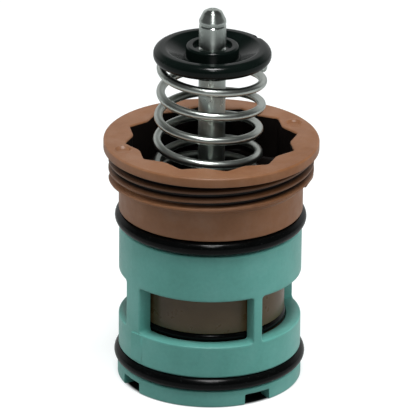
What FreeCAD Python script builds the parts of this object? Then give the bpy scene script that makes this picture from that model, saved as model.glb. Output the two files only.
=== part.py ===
import FreeCAD, Part
import math
import os
import re
import Sketcher

# Zone valve cartridge, in millimetres. The axis is Z and the foot stands on z = 0.
# The long faces of the cage's windows look along X and Y, and the columns stand between them.

SIZES = {
    # Cage: the ported tube at the bottom
    "cage_radius": 17.0,
    "cage_wall": 2.8,
    "cage_edge": 0.4,
    "foot_lip": 0.15,
    "foot_height": 3.2,
    "foot_edge": 0.35,
    "sill_height": 6.2,
    "window_height": 9.1,
    "band_height": 9.0,
    "window_corner": 0.6,
    "wide_column": 15.5,
    "narrow_column": 6.2,
    "notch_width": 5.3,
    "notch_height": 2.0,
    # Body seals, and the grooves that hold them
    "body_seal_wire": 2.62,
    "body_seal_depth": 1.85,
    "body_seal_play": 0.04,
    "seat_gap": 0.03,
    # Threaded collar
    "upper_groove": 3.1,
    "skirt_step": 0.1,
    "skirt_edge": 0.3,
    "root_step": 0.8,
    "thread_height": 1.15,
    "thread_length": 6.45,
    "thread_lead": 3.4,
    "thread_land": 0.42,
    "thread_foot": 1.25,
    "thread_bite": 0.25,
    "thread_bury": 0.1,
    "root_rise": 0.85,
    "collar_reach": 11.9,
    "flange_lip": 0.95,
    "flange_thickness": 1.8,
    "seat_relief": 0.15,
    "seat_clearance": 0.15,
    "flange_edge": 0.35,
    "socket_wall": 1.734192,
    "socket_depth": 8.5,
    "socket_turn": 23.0,
    "socket_cusp": 0.45,
    "floor_thickness": 3.0,
    "neck_wall": 2.0,
    "neck_fit": 0.05,
    "snap_bead": 0.35,
    "snap_height": 1.0,
    "snap_drop": 2.2,
    "gland_boss": 6.6,
    "gland_bore": 4.4,
    "gland_roof": 0.9,
    # Gland round the stem
    "guide_length": 3.5,
    "stem_seal_wire": 1.78,
    "stem_seal_play": 0.04,
    "spacer_thickness": 0.8,
    "gland_ring_thickness": 1.5,
    "running_gap": 0.05,
    "stem_hole_gap": 0.3,
    # Stem
    "stem_radius": 2.5,
    "stem_reach": 7.0,
    "stem_tip_radius": 1.75,
    "stem_cone": 1.6,
    "stem_dome": 0.45,
    "stem_dome_flat": 1.05,
    "head_groove_drop": 2.85,
    "head_groove_width": 0.5,
    "head_groove_depth": 0.25,
    "stem_end_radius": 2.0,
    # Spring retainer disc and its clip
    "disc_overhang": 0.55,
    "disc_thickness": 3.0,
    "disc_round": 1.35,
    "dish_depth": 1.5,
    "rim_width": 2.15,
    "hub_radius": 4.4,
    "hub_drop": 0.2,
    "hub_edge": 0.35,
    "hub_sleeve": 2.0,
    "hub_groove_width": 1.2,
    "hub_groove_depth": 0.7,
    "clip_thickness": 0.6,
    "clip_radius": 3.5,
    "clip_recess": 0.75,
    "clip_opening": 70.0,
    "clip_turn": 45.0,
    "clip_gap": 0.15,
    # Return spring
    "spring_radius": 9.4,
    "spring_wire": 1.6,
    "spring_room": 22.95,
    "spring_half_turns": 9,
    "spring_flat": 270.0,
    "spring_start": -167.0,
    "spring_gap": 0.12,
    "seat_washer_thickness": 0.6,
    "seat_washer_overhang": 0.6,
    # Piston
    "piston_gap": 0.8,
    "piston_lip_gap": 0.2,
    "piston_lip_height": 0.5,
    "piston_wall": 2.0,
    "piston_height": 12.65,
    "piston_seal_wire": 1.6,
    "piston_seal_play": 0.05,
    "piston_foot_gap": 2.25,
    "piston_stop_gap": 0.3,
    "stroke": 9.0,
    "hub_of_piston": 4.6,
    "hub_length": 5.5,
    "web_thickness": 2.4,
    "flow_hole_margin": 0.7,
    "washer_radius": 4.2,
    "washer_thickness": 0.6,
    "nut_width": 7.0,
    "nut_height": 3.2,
    "stem_end_length": 0.5,
    "screw_gap": 0.03,
}

# Places that follow from the sizes. Each is worked out once and used by every piece that meets there.
PLACES = {
    "cage_bore": "cage_radius - cage_wall",
    "foot_radius": "cage_radius + foot_lip",
    "body_seal_seat": "cage_radius - body_seal_depth",
    "skirt_radius": "cage_radius + skirt_step",
    "thread_root": "skirt_radius + root_step",
    "thread_crest": "thread_root + thread_height",
    "flange_radius": "thread_crest + flange_lip",
    "socket_points": "thread_root - socket_wall",
    "socket_cusps": "socket_points * cos(30) / cos(15)",
    "disc_radius": "spring_radius + spring_wire / 2 + disc_overhang",
    "rim_crest": "disc_radius - rim_width",
    "piston_radius": "cage_bore - piston_gap",
    "piston_lip": "cage_bore - piston_lip_gap",
    "piston_inside": "piston_radius - piston_wall",
    "flow_circle": "(hub_of_piston + piston_inside) / 2",
    "flow_hole": "(piston_inside - hub_of_piston) / 2 - flow_hole_margin",
    "lower_groove_top": "foot_height + body_seal_wire + 2 * body_seal_play",
    "body_seal_ring": "body_seal_seat + seat_gap + body_seal_wire / 2",
    "window_sill": "lower_groove_top + sill_height",
    "window_top": "window_sill + window_height",
    "cage_top": "window_top + band_height",
    "skirt_bottom": "cage_top + upper_groove",
    "flange_base": "skirt_bottom + collar_reach",
    "rim_top": "flange_base + flange_thickness",
    "thread_bottom": "flange_base - thread_length",
    "thread_turns": "(thread_length + seat_relief + thread_bury) / thread_lead",
    "root_bottom": "thread_bottom + root_rise",
    "socket_floor": "rim_top - socket_depth",
    "floor_underside": "socket_floor - floor_thickness",
    "piston_bottom": "stroke + piston_foot_gap",
    "piston_top": "piston_bottom + piston_height",
    "neck_bottom": "piston_top + piston_stop_gap",
    "neck_bore": "body_seal_seat - neck_wall",
    "snap_middle": "cage_top - snap_drop",
    "gland_top": "socket_floor - gland_roof",
    "guide_bottom": "gland_top - guide_length",
    "stem_seal_slot": "stem_seal_wire + 2 * stem_seal_play",
    "upper_stem_seal": "guide_bottom - stem_seal_slot / 2",
    "spacer_top": "guide_bottom - stem_seal_slot",
    "spacer_bottom": "spacer_top - spacer_thickness",
    "lower_stem_seal": "spacer_bottom - stem_seal_slot / 2",
    "gland_ring_top": "spacer_bottom - stem_seal_slot",
    "gland_bottom": "gland_ring_top - gland_ring_thickness",
    "gland_hole": "stem_radius + running_gap",
    "stem_seal_ring": "stem_radius + running_gap + stem_seal_wire / 2",
    "seat_washer_top": "socket_floor + seat_washer_thickness",
    "disc_base": "seat_washer_top + spring_room",
    "disc_top": "disc_base + disc_thickness",
    "dish_floor": "disc_top - dish_depth",
    "hub_top": "disc_top - hub_drop",
    "clip_seat": "hub_top - clip_recess",
    "stem_top": "hub_top + stem_reach",
    "head_groove": "stem_top - head_groove_drop",
    "spring_low": "seat_washer_top + spring_gap + spring_wire / 2",
    "spring_high": "disc_base - spring_gap - spring_wire / 2",
    "spring_rise": "(spring_high - spring_low) / spring_half_turns",
    "seal_groove": "piston_seal_wire + 2 * piston_seal_play",
    "piston_seal_ring": "cage_bore - running_gap - piston_seal_wire / 2",
    "seal_floor": "piston_seal_ring - piston_seal_wire / 2 - piston_seal_play",
    "lower_seal_height": "piston_bottom + piston_lip_height + seal_groove / 2",
    "upper_seal_height": "piston_top - piston_lip_height - seal_groove / 2",
    "web_bottom": "piston_bottom + (piston_height - web_thickness) / 2",
    "hub_bottom": "piston_bottom + (piston_height - hub_length) / 2",
    "hub_ceiling": "hub_bottom + hub_length",
    "stem_shoulder": "hub_ceiling + washer_thickness",
    "nut_top": "hub_bottom - washer_thickness",
    "nut_bottom": "nut_top - nut_height",
    "stem_bottom": "nut_bottom - stem_end_length",
    "screw_hole": "stem_end_radius + screw_gap",
}

document = FreeCAD.newDocument("zone_valve_cartridge")

sheet = document.addObject("Spreadsheet::Sheet", "Sizes")
for line, (size, number) in enumerate(SIZES.items(), start=1):
    sheet.set("A%d" % line, size)
    sheet.set("B%d" % line, str(number))
    sheet.setAlias("B%d" % line, size)
document.recompute()

NODES = []


def tied(text):
    """The expression with every place written out and every size taken from the sheet."""
    def written(match):
        word = match.group(0)
        if word in PLACES:
            return "(" + tied(PLACES[word]) + ")"
        if word in SIZES:
            return "Sizes." + word
        return word
    return re.sub(r"[a-z_]+", written, text)


def number_of(text):
    """The plain number that an expression stands for."""
    found = sheet.evalExpression(tied(text))
    return float(getattr(found, "Value", found))


def tie(item, name, text):
    item.setExpression(name, tied(text))


def plane_of(body, role):
    return [plane for plane in body.Origin.OriginFeatures if plane.Role == role][0]


def new_body(label):
    body = document.addObject("PartDesign::Body", label)
    body.Label = label
    NODES.append(body)
    return body


def new_sketch(body, name, role, height="0"):
    sketch = body.newObject("Sketcher::SketchObject", name)
    sketch.AttachmentSupport = [(plane_of(body, role), "")]
    sketch.MapMode = "FlatFace"
    if height != "0":
        tie(sketch, "AttachmentOffset.Base.z", height)
    return sketch


def draw_outline(sketch, corners):
    """A closed outline of straight edges. Each corner is a pair of size expressions."""
    first = sketch.GeometryCount
    count = len(corners)
    spots = [FreeCAD.Vector(number_of(across), number_of(up), 0) for across, up in corners]
    for index, spot in enumerate(spots):
        sketch.addGeometry(Part.LineSegment(spot, spots[(index + 1) % count]))
    for index, corner in enumerate(corners):
        here = first + index
        before = first + (index - 1) % count
        sketch.addConstraint(Sketcher.Constraint("Coincident", before, 2, here, 1))
        for kind, text in zip(("DistanceX", "DistanceY"), corner):
            rule = Sketcher.Constraint(kind, -1, 1, here, 1, number_of(text))
            row = sketch.addConstraint(rule)
            sketch.setExpression("Constraints[%d]" % row, tied(text))


def draw_circle(sketch, radius, across="0", up="0"):
    spot = FreeCAD.Vector(number_of(across), number_of(up), 0)
    here = sketch.addGeometry(Part.Circle(spot, FreeCAD.Vector(0, 0, 1), number_of(radius)))
    row = sketch.addConstraint(Sketcher.Constraint("Radius", here, number_of(radius)))
    sketch.setExpression("Constraints[%d]" % row, tied(radius))
    for kind, text in (("DistanceX", across), ("DistanceY", up)):
        row = sketch.addConstraint(Sketcher.Constraint(kind, -1, 1, here, 3, number_of(text)))
        sketch.setExpression("Constraints[%d]" % row, tied(text))


def turn_profile(body, corners):
    """Turns an outline of (radius, height) corners round the Z axis."""
    sketch = new_sketch(body, body.Name + "_profile", "XZ_Plane")
    draw_outline(sketch, corners)
    turned = body.newObject("PartDesign::Revolution", body.Name + "_turned")
    turned.Profile = sketch
    turned.ReferenceAxis = (sketch, ["V_Axis"])
    turned.Angle = 360
    document.recompute()
    return turned


def cut_down(body, name, sketch, depth):
    """Cuts a sketch downwards, and makes sure that something was cut."""
    whole = body.Shape.Volume
    pocket = body.newObject("PartDesign::Pocket", name)
    pocket.Profile = sketch
    tie(pocket, "Length", depth)
    document.recompute()
    if body.Shape.Volume > whole - 0.01:
        raise ValueError(name + " cuts nothing")
    return pocket


def edges_where(shape, wanted):
    """Names of the edges that a test picks by its two ends' radii and heights."""
    names = []
    for index, edge in enumerate(shape.Edges, start=1):
        if wanted(edge):
            names.append("Edge%d" % index)
    return names


def is_ring(edge, radius, height):
    """True for a whole circle, or part of one, round the axis at this radius and height."""
    if not isinstance(edge.Curve, Part.Circle):
        return False
    centre = edge.Curve.Center
    on_axis = math.hypot(centre.x, centre.y) < 1e-4
    return on_axis and abs(edge.Curve.Radius - radius) < 1e-4 and abs(centre.z - height) < 1e-4


def rings_at(shape, rings):
    """Edges of a turned shape at given pairs of radius and height expressions."""
    pairs = [(number_of(radius), number_of(height)) for radius, height in rings]
    return edges_where(shape, lambda edge: any(is_ring(edge, *pair) for pair in pairs))


def round_rings(body, name, radius, rings):
    before = body.Tip
    edges = rings_at(before.Shape, rings)
    fillet = body.newObject("PartDesign::Fillet", name)
    fillet.Base = (before, edges)
    tie(fillet, "Radius", radius)
    document.recompute()
    return fillet


def round_edges(body, name, radius, wanted):
    before = body.Tip
    edges = edges_where(before.Shape, wanted)
    fillet = body.newObject("PartDesign::Fillet", name)
    fillet.Base = (before, edges)
    tie(fillet, "Radius", radius)
    document.recompute()
    return fillet


def seal_ring(label, ring, wire, height):
    """A round rubber ring: ring is its centreline radius and wire its thickness."""
    seal = document.addObject("Part::Torus", label)
    seal.Label = label
    tie(seal, "Radius1", ring)
    tie(seal, "Radius2", "(" + wire + ") / 2")
    tie(seal, "Placement.Base.z", height)
    NODES.append(seal)
    return seal


def flat_ring(label, inner, outer, bottom, top):
    """A plain washer or bush."""
    body = new_body(label)
    turn_profile(body, [(inner, bottom), (outer, bottom), (outer, top), (inner, top)])
    return body


def polar(radius, angle):
    """A corner at a radius and an angle in degrees from +X, both expressions."""
    return ("(%s) * cos(%s)" % (radius, angle), "(%s) * sin(%s)" % (radius, angle))


# Ported cage

def make_cage():
    cage = new_body("cage")
    turn_profile(cage, [
        ("cage_bore", "0"),
        ("foot_radius", "0"),
        ("foot_radius", "foot_height"),
        ("body_seal_seat", "foot_height"),
        ("body_seal_seat", "lower_groove_top"),
        ("cage_radius", "lower_groove_top"),
        ("cage_radius", "cage_top"),
        ("body_seal_seat + neck_fit", "cage_top"),
        ("body_seal_seat + neck_fit", "snap_middle + snap_height / 2"),
        ("body_seal_seat + neck_fit + snap_bead", "snap_middle + snap_height / 2 - snap_bead"),
        ("body_seal_seat + neck_fit + snap_bead", "snap_middle - snap_height / 2 + snap_bead / 2"),
        ("body_seal_seat + neck_fit", "snap_middle - snap_height / 2"),
        ("body_seal_seat + neck_fit", "neck_bottom - neck_fit"),
        ("cage_bore", "neck_bottom - neck_fit"),
    ])

    # Four windows between two wide and two narrow columns, their sides on lines through the axis.
    # Wide columns stand at 45 and 225 degrees, narrow ones at 135 and 315. A chord across a quarter
    # of the ring clears the wall when its ends are at the radius divided by the cosine of 45 degrees.
    windows = new_sketch(cage, "window_outlines", "XY_Plane", "window_top")
    for quarter in range(4):
        widths = ["wide_column", "narrow_column"]
        start = "%d + %s / 2" % (90 * quarter + 45, widths[quarter % 2])
        end = "%d - %s / 2" % (90 * quarter + 135, widths[(quarter + 1) % 2])
        draw_outline(windows, [
            polar("cage_bore / 2", start),
            polar("cage_radius / cos(45)", start),
            polar("cage_radius / cos(45)", end),
            polar("cage_bore / 2", end),
        ])
    cut_down(cage, "windows", windows, "window_height")

    # Notches in the foot, one under each column
    notches = new_sketch(cage, "notch_outlines", "XY_Plane", "notch_height")
    beyond = "foot_radius + notch_width"
    for angle in (45, 135, 225, 315):
        corners = []
        for along, side in (("cage_bore / 2", "-"), (beyond, "-"), (beyond, ""), ("cage_bore / 2", "")):
            across = "%snotch_width / 2" % side
            corners.append((
                "(%s) * cos(%d) - (%s) * sin(%d)" % (along, angle, across, angle),
                "(%s) * sin(%d) + (%s) * cos(%d)" % (along, angle, across, angle),
            ))
        draw_outline(notches, corners)
    cut_down(cage, "notches", notches, "notch_height")

    # Rounded window corners: the edges that run straight out from the axis at sill and head
    levels = (number_of("window_sill"), number_of("window_top"))

    def is_corner(edge):
        if not isinstance(edge.Curve, Part.Line):
            return False
        low, high = edge.BoundBox.ZMin, edge.BoundBox.ZMax
        return high - low < 1e-4 and min(abs(low - level) for level in levels) < 1e-4

    round_edges(cage, "window_corners", "window_corner", is_corner)
    round_rings(cage, "foot_round", "foot_edge", [
        ("foot_radius", "0"),
        ("foot_radius", "foot_height"),
    ])
    round_rings(cage, "cage_round", "cage_edge", [
        ("cage_radius", "cage_top"),
        ("cage_radius", "lower_groove_top"),
    ])


# Threaded collar with its twelve point socket

def make_collar():
    collar = new_body("threaded_collar")
    turn_profile(collar, [
        ("0", "gland_top"),
        ("0", "rim_top"),
        ("flange_radius", "rim_top"),
        ("flange_radius", "flange_base"),
        ("thread_crest + seat_clearance", "flange_base"),
        ("thread_crest + seat_clearance", "flange_base + seat_relief"),
        ("thread_root", "flange_base + seat_relief"),
        ("thread_root", "root_bottom"),
        ("skirt_radius", "root_bottom - (thread_root - skirt_radius)"),
        ("skirt_radius", "skirt_bottom"),
        ("body_seal_seat", "skirt_bottom"),
        ("body_seal_seat", "snap_middle + snap_height / 2"),
        ("body_seal_seat + snap_bead", "snap_middle + snap_height / 2 - snap_bead"),
        ("body_seal_seat + snap_bead", "snap_middle - snap_height / 2 + snap_bead / 2"),
        ("body_seal_seat", "snap_middle - snap_height / 2"),
        ("body_seal_seat", "neck_bottom"),
        ("neck_bore", "neck_bottom"),
        ("neck_bore", "floor_underside"),
        ("gland_boss", "floor_underside"),
        ("gland_boss", "gland_bottom"),
        ("gland_bore", "gland_bottom"),
        ("gland_bore", "gland_top"),
    ])
    stem_hole = new_sketch(collar, "stem_hole_outline", "XY_Plane", "rim_top")
    draw_circle(stem_hole, "stem_radius + stem_hole_gap")
    cut_down(collar, "stem_hole", stem_hole, "rim_top - gland_top")
    round_rings(collar, "flange_round", "flange_edge", [("flange_radius", "rim_top")])
    round_rings(collar, "skirt_round", "skirt_edge", [("skirt_radius", "skirt_bottom")])

    # The socket: two hexagons thirty degrees apart, so points and cusps alternate
    socket = new_sketch(collar, "socket_outline", "XY_Plane", "rim_top")
    corners = []
    for index in range(12):
        point = "socket_turn + %d" % (30 * index)
        cusp = "socket_turn + %d" % (30 * index + 15)
        corners.append(polar("socket_points", point))
        corners.append(polar("socket_cusps", cusp))
    draw_outline(socket, corners)
    cut_down(collar, "socket", socket, "socket_depth")

    # Cusps worn round: the upright edges nearest the axis
    cusp_radius = number_of("socket_cusps")

    def is_cusp(edge):
        if not isinstance(edge.Curve, Part.Line):
            return False
        ends = [math.hypot(vertex.X, vertex.Y) for vertex in edge.Vertexes]
        upright = edge.BoundBox.ZLength > 1
        return upright and all(abs(end - cusp_radius) < 1e-3 for end in ends)

    round_edges(collar, "cusp_rounds", "socket_cusp", is_cusp)

    # The double thread: two ridges that start on opposite sides and wind up into the flange
    for side, name in (("", "first"), ("-", "second")):
        ridge = new_sketch(collar, name + "_thread_section", "XZ_Plane")
        draw_outline(ridge, [
            (side + "(skirt_radius - thread_bite)", "thread_bottom"),
            (side + "thread_root", "thread_bottom"),
            (side + "thread_crest", "thread_bottom + (thread_foot - thread_land) / 2"),
            (side + "thread_crest", "thread_bottom + (thread_foot + thread_land) / 2"),
            (side + "thread_root", "thread_bottom + thread_foot"),
            (side + "(skirt_radius - thread_bite)", "thread_bottom + thread_foot"),
        ])
        thread = collar.newObject("PartDesign::AdditiveHelix", name + "_thread")
        thread.Profile = ridge
        thread.ReferenceAxis = (ridge, ["V_Axis"])
        thread.Mode = "pitch-turns-angle"
        tie(thread, "Pitch", "thread_lead")
        tie(thread, "Turns", "thread_turns")
        document.recompute()


# Gland: what guides and seals the stem inside the collar

def make_gland():
    flat_ring("stem_guide", "gland_hole", "gland_bore", "guide_bottom", "gland_top")
    seal_ring("stem_oring_upper", "stem_seal_ring", "stem_seal_wire", "upper_stem_seal")
    flat_ring("gland_spacer", "gland_hole", "gland_bore", "spacer_bottom", "spacer_top")
    seal_ring("stem_oring_lower", "stem_seal_ring", "stem_seal_wire", "lower_stem_seal")
    flat_ring("gland_retainer", "gland_hole", "gland_bore", "gland_bottom", "gland_ring_top")


# Stem: a plain shaft with a coned head, a clip groove and a thinner threaded end

def make_stem():
    stem = new_body("stem")
    groove_low = "head_groove - head_groove_width / 2"
    groove_high = "head_groove + head_groove_width / 2"
    turn_profile(stem, [
        ("0", "stem_bottom"),
        ("stem_end_radius", "stem_bottom"),
        ("stem_end_radius", "stem_shoulder"),
        ("stem_radius", "stem_shoulder"),
        ("stem_radius", "clip_seat"),
        ("stem_end_radius", "clip_seat"),
        ("stem_end_radius", "clip_seat + clip_thickness"),
        ("stem_radius", "clip_seat + clip_thickness"),
        ("stem_radius", groove_low),
        ("stem_radius - head_groove_depth", groove_low + " + head_groove_depth"),
        ("stem_radius - head_groove_depth", groove_high),
        ("stem_radius", groove_high),
        ("stem_radius", "stem_top - stem_dome - stem_cone"),
        ("stem_tip_radius", "stem_top - stem_dome"),
        ("stem_dome_flat", "stem_top"),
        ("0", "stem_top"),
    ])


# Spring retainer: a dished disc with a thick rolled rim and a hub round the stem

def make_disc():
    disc = new_body("spring_retainer")
    turn_profile(disc, [
        ("stem_radius + neck_fit", "disc_base - hub_sleeve"),
        ("hub_radius", "disc_base - hub_sleeve"),
        ("hub_radius", "disc_base"),
        ("disc_radius", "disc_base"),
        ("disc_radius", "disc_top"),
        ("rim_crest", "disc_top"),
        ("hub_radius + hub_groove_width", "dish_floor"),
        ("hub_radius + hub_groove_width", "dish_floor - hub_groove_depth"),
        ("hub_radius", "dish_floor - hub_groove_depth"),
        ("hub_radius", "hub_top"),
        ("clip_radius + clip_gap", "hub_top"),
        ("clip_radius + clip_gap", "clip_seat"),
        ("stem_radius + neck_fit", "clip_seat"),
    ])
    round_rings(disc, "rim_round", "disc_round", [
        ("disc_radius", "disc_base"),
        ("disc_radius", "disc_top"),
    ])
    round_rings(disc, "crest_round", "disc_round", [("rim_crest", "disc_top")])
    round_rings(disc, "hub_round", "hub_edge", [("hub_radius", "hub_top")])

    clip = new_body("retainer_clip")
    turn_profile(clip, [
        ("stem_end_radius + screw_gap", "clip_seat"),
        ("clip_radius", "clip_seat"),
        ("clip_radius", "clip_seat + clip_thickness"),
        ("stem_end_radius + screw_gap", "clip_seat + clip_thickness"),
    ])
    mouth = new_sketch(clip, "clip_mouth", "XY_Plane", "clip_seat + clip_thickness")
    draw_outline(mouth, [
        ("0", "0"),
        polar("2 * clip_radius", "clip_turn - clip_opening / 2"),
        polar("2 * clip_radius", "clip_turn + clip_opening / 2"),
    ])
    cut_down(clip, "clip_gap_cut", mouth, "clip_thickness")


# Return spring: a left hand coil. Each half turn is an arc in a tilted plane, level at its ends, so
# it runs on into the next one and into the flat turns that press on the disc and on the washer.

def coil_arc(name, radius, sweep, height, turn, tilt="0"):
    arc = document.addObject("Part::Torus", name)
    tie(arc, "Radius1", radius)
    tie(arc, "Radius2", "spring_wire / 2")
    tie(arc, "Angle3", sweep)
    place = "placement(vector(0; 0; %s); rotation(%s; %s; 0))" % (height, turn, tilt)
    tie(arc, "Placement", place)
    return arc


def make_spring():
    arcs = [
        coil_arc("upper_flat", "spring_radius", "spring_flat", "spring_high", "spring_start - spring_flat"),
    ]
    half_turns = round(SIZES["spring_half_turns"])
    for index in range(half_turns):
        arcs.append(coil_arc(
            "half_turn_%d" % (index + 1),
            "sqrt(spring_radius ^ 2 + (spring_rise / 2) ^ 2)",
            "180",
            "spring_high - spring_rise * %s" % (index + 0.5),
            "spring_start + %d" % (180 * index),
            "-atan(spring_rise / 2 / spring_radius)",
        ))
    end = "spring_start + %d" % (180 * half_turns)
    arcs.append(coil_arc("lower_flat", "spring_radius", "spring_flat", "spring_low", end))
    spring = document.addObject("Part::MultiFuse", "return_spring")
    spring.Label = "return_spring"
    spring.Shapes = arcs
    NODES.append(spring)


# Piston: an open sleeve on a web with flow holes, clamped on the stem between two washers

def make_piston():
    piston = new_body("piston")
    lower_groove = "piston_bottom + piston_lip_height"
    upper_groove = "piston_top - piston_lip_height - seal_groove"
    turn_profile(piston, [
        ("screw_hole", "hub_bottom"),
        ("hub_of_piston", "hub_bottom"),
        ("hub_of_piston", "web_bottom"),
        ("piston_inside", "web_bottom"),
        ("piston_inside", "piston_bottom"),
        ("piston_lip", "piston_bottom"),
        ("piston_lip", lower_groove),
        ("seal_floor", lower_groove),
        ("seal_floor", lower_groove + " + seal_groove"),
        ("piston_radius", lower_groove + " + seal_groove"),
        ("piston_radius", upper_groove),
        ("seal_floor", upper_groove),
        ("seal_floor", "piston_top - piston_lip_height"),
        ("piston_lip", "piston_top - piston_lip_height"),
        ("piston_lip", "piston_top"),
        ("piston_inside", "piston_top"),
        ("piston_inside", "web_bottom + web_thickness"),
        ("hub_of_piston", "web_bottom + web_thickness"),
        ("hub_of_piston", "hub_ceiling"),
        ("screw_hole", "hub_ceiling"),
    ])
    holes = new_sketch(piston, "flow_hole_outlines", "XY_Plane", "web_bottom + web_thickness")
    for index in range(6):
        across, up = polar("flow_circle", "%d" % (60 * index))
        draw_circle(holes, "flow_hole", across, up)
    cut_down(piston, "flow_holes", holes, "web_thickness")

    seal_ring("piston_lower_seal", "piston_seal_ring", "piston_seal_wire", "lower_seal_height")
    seal_ring("piston_upper_seal", "piston_seal_ring", "piston_seal_wire", "upper_seal_height")
    flat_ring("piston_upper_washer", "screw_hole", "washer_radius", "hub_ceiling", "stem_shoulder")
    flat_ring("piston_lower_washer", "screw_hole", "washer_radius", "nut_top", "hub_bottom")

    nut = new_body("piston_nut")
    outline = new_sketch(nut, "nut_outline", "XY_Plane", "nut_bottom")
    draw_outline(outline, [polar("nut_width / 2 / cos(30)", "%d" % (60 * index)) for index in range(6)])
    draw_circle(outline, "screw_hole")
    pad = nut.newObject("PartDesign::Pad", "nut_block")
    pad.Profile = outline
    tie(pad, "Length", "nut_height")
    document.recompute()


make_cage()
make_collar()
make_gland()
make_stem()
make_disc()
make_piston()
seal_ring("lower_body_oring", "body_seal_ring", "body_seal_wire", "(foot_height + lower_groove_top) / 2")
seal_ring("upper_body_oring", "body_seal_ring", "body_seal_wire", "(cage_top + skirt_bottom) / 2")
flat_ring(
    "spring_seat_washer",
    "spring_radius - spring_wire / 2 - seat_washer_overhang",
    "spring_radius + spring_wire / 2 + seat_washer_overhang",
    "socket_floor",
    "seat_washer_top",
)
make_spring()

document.recompute()
os.makedirs("parts", exist_ok=True)
for item in document.Objects:
    if "Invalid" in item.State or "Error" in item.State:
        raise ValueError(item.Name + " failed")
for node in NODES:
    shape = node.Shape
    if shape.isNull() or not shape.isValid():
        raise ValueError(node.Label + " has no valid shape")
    shape.exportStep("parts/%s.step" % node.Label)
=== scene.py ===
import math

import bpy
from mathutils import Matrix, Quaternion, Vector


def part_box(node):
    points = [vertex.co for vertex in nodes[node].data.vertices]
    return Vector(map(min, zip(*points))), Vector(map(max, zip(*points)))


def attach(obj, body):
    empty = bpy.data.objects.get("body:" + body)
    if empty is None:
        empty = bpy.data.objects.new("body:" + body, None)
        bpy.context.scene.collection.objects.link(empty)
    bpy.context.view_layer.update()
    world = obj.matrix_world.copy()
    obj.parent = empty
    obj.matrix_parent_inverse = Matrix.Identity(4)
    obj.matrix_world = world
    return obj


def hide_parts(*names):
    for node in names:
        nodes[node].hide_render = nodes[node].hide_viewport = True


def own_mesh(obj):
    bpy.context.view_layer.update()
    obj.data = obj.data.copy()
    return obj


# Zone valve cartridge. Sizes below are in millimetres and are turned into metres by MM.

MM = 0.001

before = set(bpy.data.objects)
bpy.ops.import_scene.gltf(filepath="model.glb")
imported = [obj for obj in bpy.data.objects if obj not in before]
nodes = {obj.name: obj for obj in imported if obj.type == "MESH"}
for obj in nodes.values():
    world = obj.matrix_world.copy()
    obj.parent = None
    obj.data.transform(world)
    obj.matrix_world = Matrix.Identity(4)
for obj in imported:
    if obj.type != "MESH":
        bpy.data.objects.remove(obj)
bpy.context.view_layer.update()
scene = bpy.context.scene


# Heights and radii shared with the solids

def low(node):
    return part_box(node)[0].z / MM


def high(node):
    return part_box(node)[1].z / MM


CAGE_RADIUS = 17.0
CAGE_BORE = 14.2
CAGE_STEP = 24.15
NECK_SEAT = 15.2
WINDOW_CORNER = 0.6
WINDOW_BEVEL = 0.22
CAGE_TOP = high("cage")
PATCH_LOW = 6.3
PATCH_HIGH = CAGE_TOP - 0.4
ACROSS_STEPS = 46
UP_STEPS = 10
BEND_STEPS = 6
SEAL_SEAT = 15.15
SEAL_WIRE = 2.62
SILL = 12.1
HEAD = 21.2
FOOT_RADIUS = 17.15
FOOT_HEIGHT = 3.2
FOOT_BRIM = 4.6
GROOVE_TOP = 5.9
NOTCH_WIDTH = 5.3
NOTCH_HEIGHT = 2.0
NOTCH_MARGIN = 0.45
WIDE = 15.5
NARROW = 6.2
COLLAR_TOP = high("threaded_collar")
NECK_BOTTOM = low("threaded_collar")
NECK_BORE = 13.15
GLAND_BORE = 4.4
GLAND_RADIUS = 6.6
GLAND_LOW = low("gland_retainer")
SHAFT_HOLE = 2.8
SKIRT_BOTTOM = CAGE_TOP + 3.1
SKIRT_RADIUS = 17.1
ROOT_RADIUS = 17.9
CREST_RADIUS = 19.05
FLANGE_BASE = COLLAR_TOP - 1.8
FLANGE_RADIUS = 20.0
LEAD = 3.4
RIDGE_HALF = 0.625
CREST_HALF = 0.21
THREAD_LENGTH = 6.45
RUN_IN = 0.25
THREAD_START = FLANGE_BASE - THREAD_LENGTH
SOCKET_FLATS = 28.0
SOCKET_TURN = 23.0
SOCKET_FLOOR = COLLAR_TOP - 8.5
SPRING_START = -205.0
SPRING_TOP_FLAT = 150.0
SPRING_LOW_FLAT = 270.0
SPRING_LOW = low("return_spring") + 0.8
SPRING_HIGH = 61.38
SPRING_RADIUS = 9.4
SPRING_WIRE = 0.8
LEAN_WAY = math.radians(13)
DISC_HIGH = high("spring_retainer")
HUB_TOP = DISC_HIGH + 0.45
DISC_BASE = DISC_HIGH - 2.75
SLEEVE_LOW = low("spring_retainer")
DISC_RADIUS = 10.9
HUB_RADIUS = 4.9
STEM_HOLE = 2.55
CLIP_POCKET = 3.65
CLIP_DEPTH = 0.75
STEM_RADIUS = 2.5
STEM_TOP = 72.4
HEAD_CONE = 2.05
STEM_BOTTOM = low("stem")
PISTON_RADIUS = 13.9
PISTON_LIP = 14.0
PISTON_INSIDE = 11.4
PISTON_HUB = 5.0
SEAL_FLOOR = 11.9


# Mesh making

def add_mesh(name, points, faces, body, slot, sharp=32):
    """A smooth-shaded piece from points in millimetres, with edges sharper than an angle kept crisp."""
    mesh = bpy.data.meshes.new(name)
    mesh.from_pydata([(x * MM, y * MM, z * MM) for x, y, z in points], [], faces)
    mesh.validate()
    piece = bpy.data.objects.new(name, mesh)
    scene.collection.objects.link(piece)
    mesh.polygons.foreach_set("use_smooth", [True] * len(mesh.polygons))
    mesh.set_sharp_from_angle(angle=math.radians(sharp))
    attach(piece, body)
    return piece


def value(entry, angle):
    return entry(angle) if callable(entry) else entry


def place_at(radius, angle, height):
    """The point at a distance from the part's axis, an angle in degrees and a height."""
    turned = math.radians(angle)
    return radius * math.cos(turned), radius * math.sin(turned), height


def around(count, first=0.0):
    """Evenly spaced angles round the axis."""
    return [first + 360 / count * step for step in range(count)]


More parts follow.
